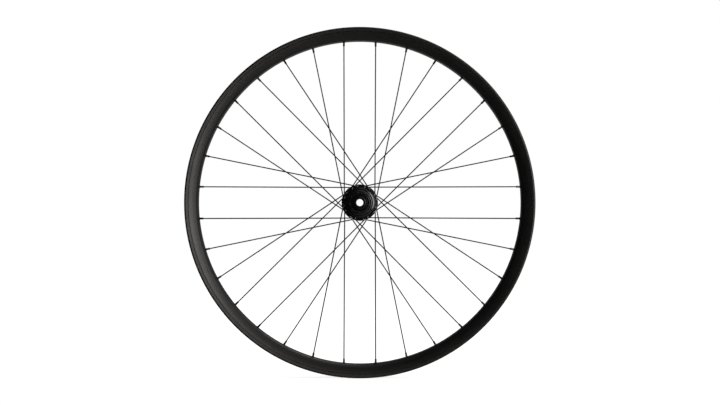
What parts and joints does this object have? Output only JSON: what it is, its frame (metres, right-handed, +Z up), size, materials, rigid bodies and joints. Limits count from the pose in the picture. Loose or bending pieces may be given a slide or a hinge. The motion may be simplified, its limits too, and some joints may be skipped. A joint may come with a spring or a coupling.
{
  "type": "bicycle wheel",
  "caption": "Spoked rear bicycle wheel with a hollow carbon rim, crossed spokes and a freewheeling hub for a through axle.",
  "frame": {"origin": "middle of the axle line, in the rim's middle plane", "axes": "+Y along the axle towards the disc side, +Z up through the valve hole, +X forwards"},
  "size_m": [0.596, 0.148, 0.596],
  "materials": {
    "carbon": "satin black carbon fibre",
    "nipple_black": "black anodised",
    "spoke_black": "black oxide",
    "hub_black": "satin black anodised",
    "cap_black": "satin black anodised",
    "freehub_black": "black anodised",
    "seal_rubber": "matt rubber",
    "axle_metal": "turned",
    "bearing_steel": "ground steel",
    "ratchet_steel": "hardened steel",
    "spring_steel": "spring steel"
  },
  "bodies": {
    "axle_assembly": {"axle": "axle_metal", "drive_end_cap": "cap_black", "disc_end_cap": "cap_black", "axle_sleeve": "axle_metal", "freehub_sleeve": "axle_metal", "drive_shell_bearing_inner_ring": "bearing_steel", "disc_shell_bearing_inner_ring": "bearing_steel", "inboard_freehub_bearing_inner_ring": "bearing_steel", "outboard_freehub_bearing_inner_ring": "bearing_steel", "drive_shell_bearing_balls": "bearing_steel", "disc_shell_bearing_balls": "bearing_steel", "inboard_freehub_bearing_balls": "bearing_steel", "outboard_freehub_bearing_balls": "bearing_steel"},
    "wheel_assembly": {"rim": "carbon", "drive_spoke_01": "spoke_black", "drive_spoke_02": "spoke_black", "drive_spoke_03": "spoke_black", "drive_spoke_04": "spoke_black", "drive_spoke_05": "spoke_black", "drive_spoke_06": "spoke_black", "drive_spoke_07": "spoke_black", "drive_spoke_08": "spoke_black", "drive_spoke_09": "spoke_black", "drive_spoke_10": "spoke_black", "drive_spoke_11": "spoke_black", "drive_spoke_12": "spoke_black", "drive_spoke_13": "spoke_black", "drive_spoke_14": "spoke_black", "drive_spoke_15": "spoke_black", "drive_spoke_16": "spoke_black", "disc_spoke_01": "spoke_black", "disc_spoke_02": "spoke_black", "disc_spoke_03": "spoke_black", "disc_spoke_04": "spoke_black", "disc_spoke_05": "spoke_black", "disc_spoke_06": "spoke_black", "disc_spoke_07": "spoke_black", "disc_spoke_08": "spoke_black", "disc_spoke_09": "spoke_black", "disc_spoke_10": "spoke_black", "disc_spoke_11": "spoke_black", "disc_spoke_12": "spoke_black", "disc_spoke_13": "spoke_black", "disc_spoke_14": "spoke_black", "disc_spoke_15": "spoke_black", "disc_spoke_16": "spoke_black", "nipples": "nipple_black", "hub_shell": "hub_black", "ratchet_ring_nut": "ratchet_steel", "drive_shell_bearing_outer_ring": "bearing_steel", "disc_shell_bearing_outer_ring": "bearing_steel", "hub_ratchet_spring": "spring_steel"},
    "freehub_assembly": {"freehub_body": "freehub_black", "freehub_seal": "seal_rubber", "inboard_freehub_bearing_outer_ring": "bearing_steel", "outboard_freehub_bearing_outer_ring": "bearing_steel", "drive_ratchet_spring": "spring_steel"},
    "hub_ratchet_ring": {"hub_ratchet": "ratchet_steel"},
    "drive_ratchet_ring": {"drive_ratchet": "ratchet_steel"}
  },
  "joints": [
    {"name": "wheel_spin", "type": "hinge", "parent": "axle_assembly", "child": "wheel_assembly", "pos_m": [0, 0, 0], "axis": [0, 1, 0], "continuous": true},
    {"name": "freehub_spin", "type": "hinge", "parent": "axle_assembly", "child": "freehub_assembly", "pos_m": [0, -0.045, 0], "axis": [0, 1, 0], "continuous": true},
    {"name": "hub_ratchet_slide", "type": "slide", "parent": "wheel_assembly", "child": "hub_ratchet_ring", "axis": [0, 1, 0], "range_m": [0, 0.0009], "stiffness_N_per_m": 500, "deforming": ["hub_ratchet_spring"]},
    {"name": "drive_ratchet_slide", "type": "slide", "parent": "freehub_assembly", "child": "drive_ratchet_ring", "axis": [0, -1, 0], "range_m": [0, 0.0009], "stiffness_N_per_m": 500, "deforming": ["drive_ratchet_spring"]}
  ]
}
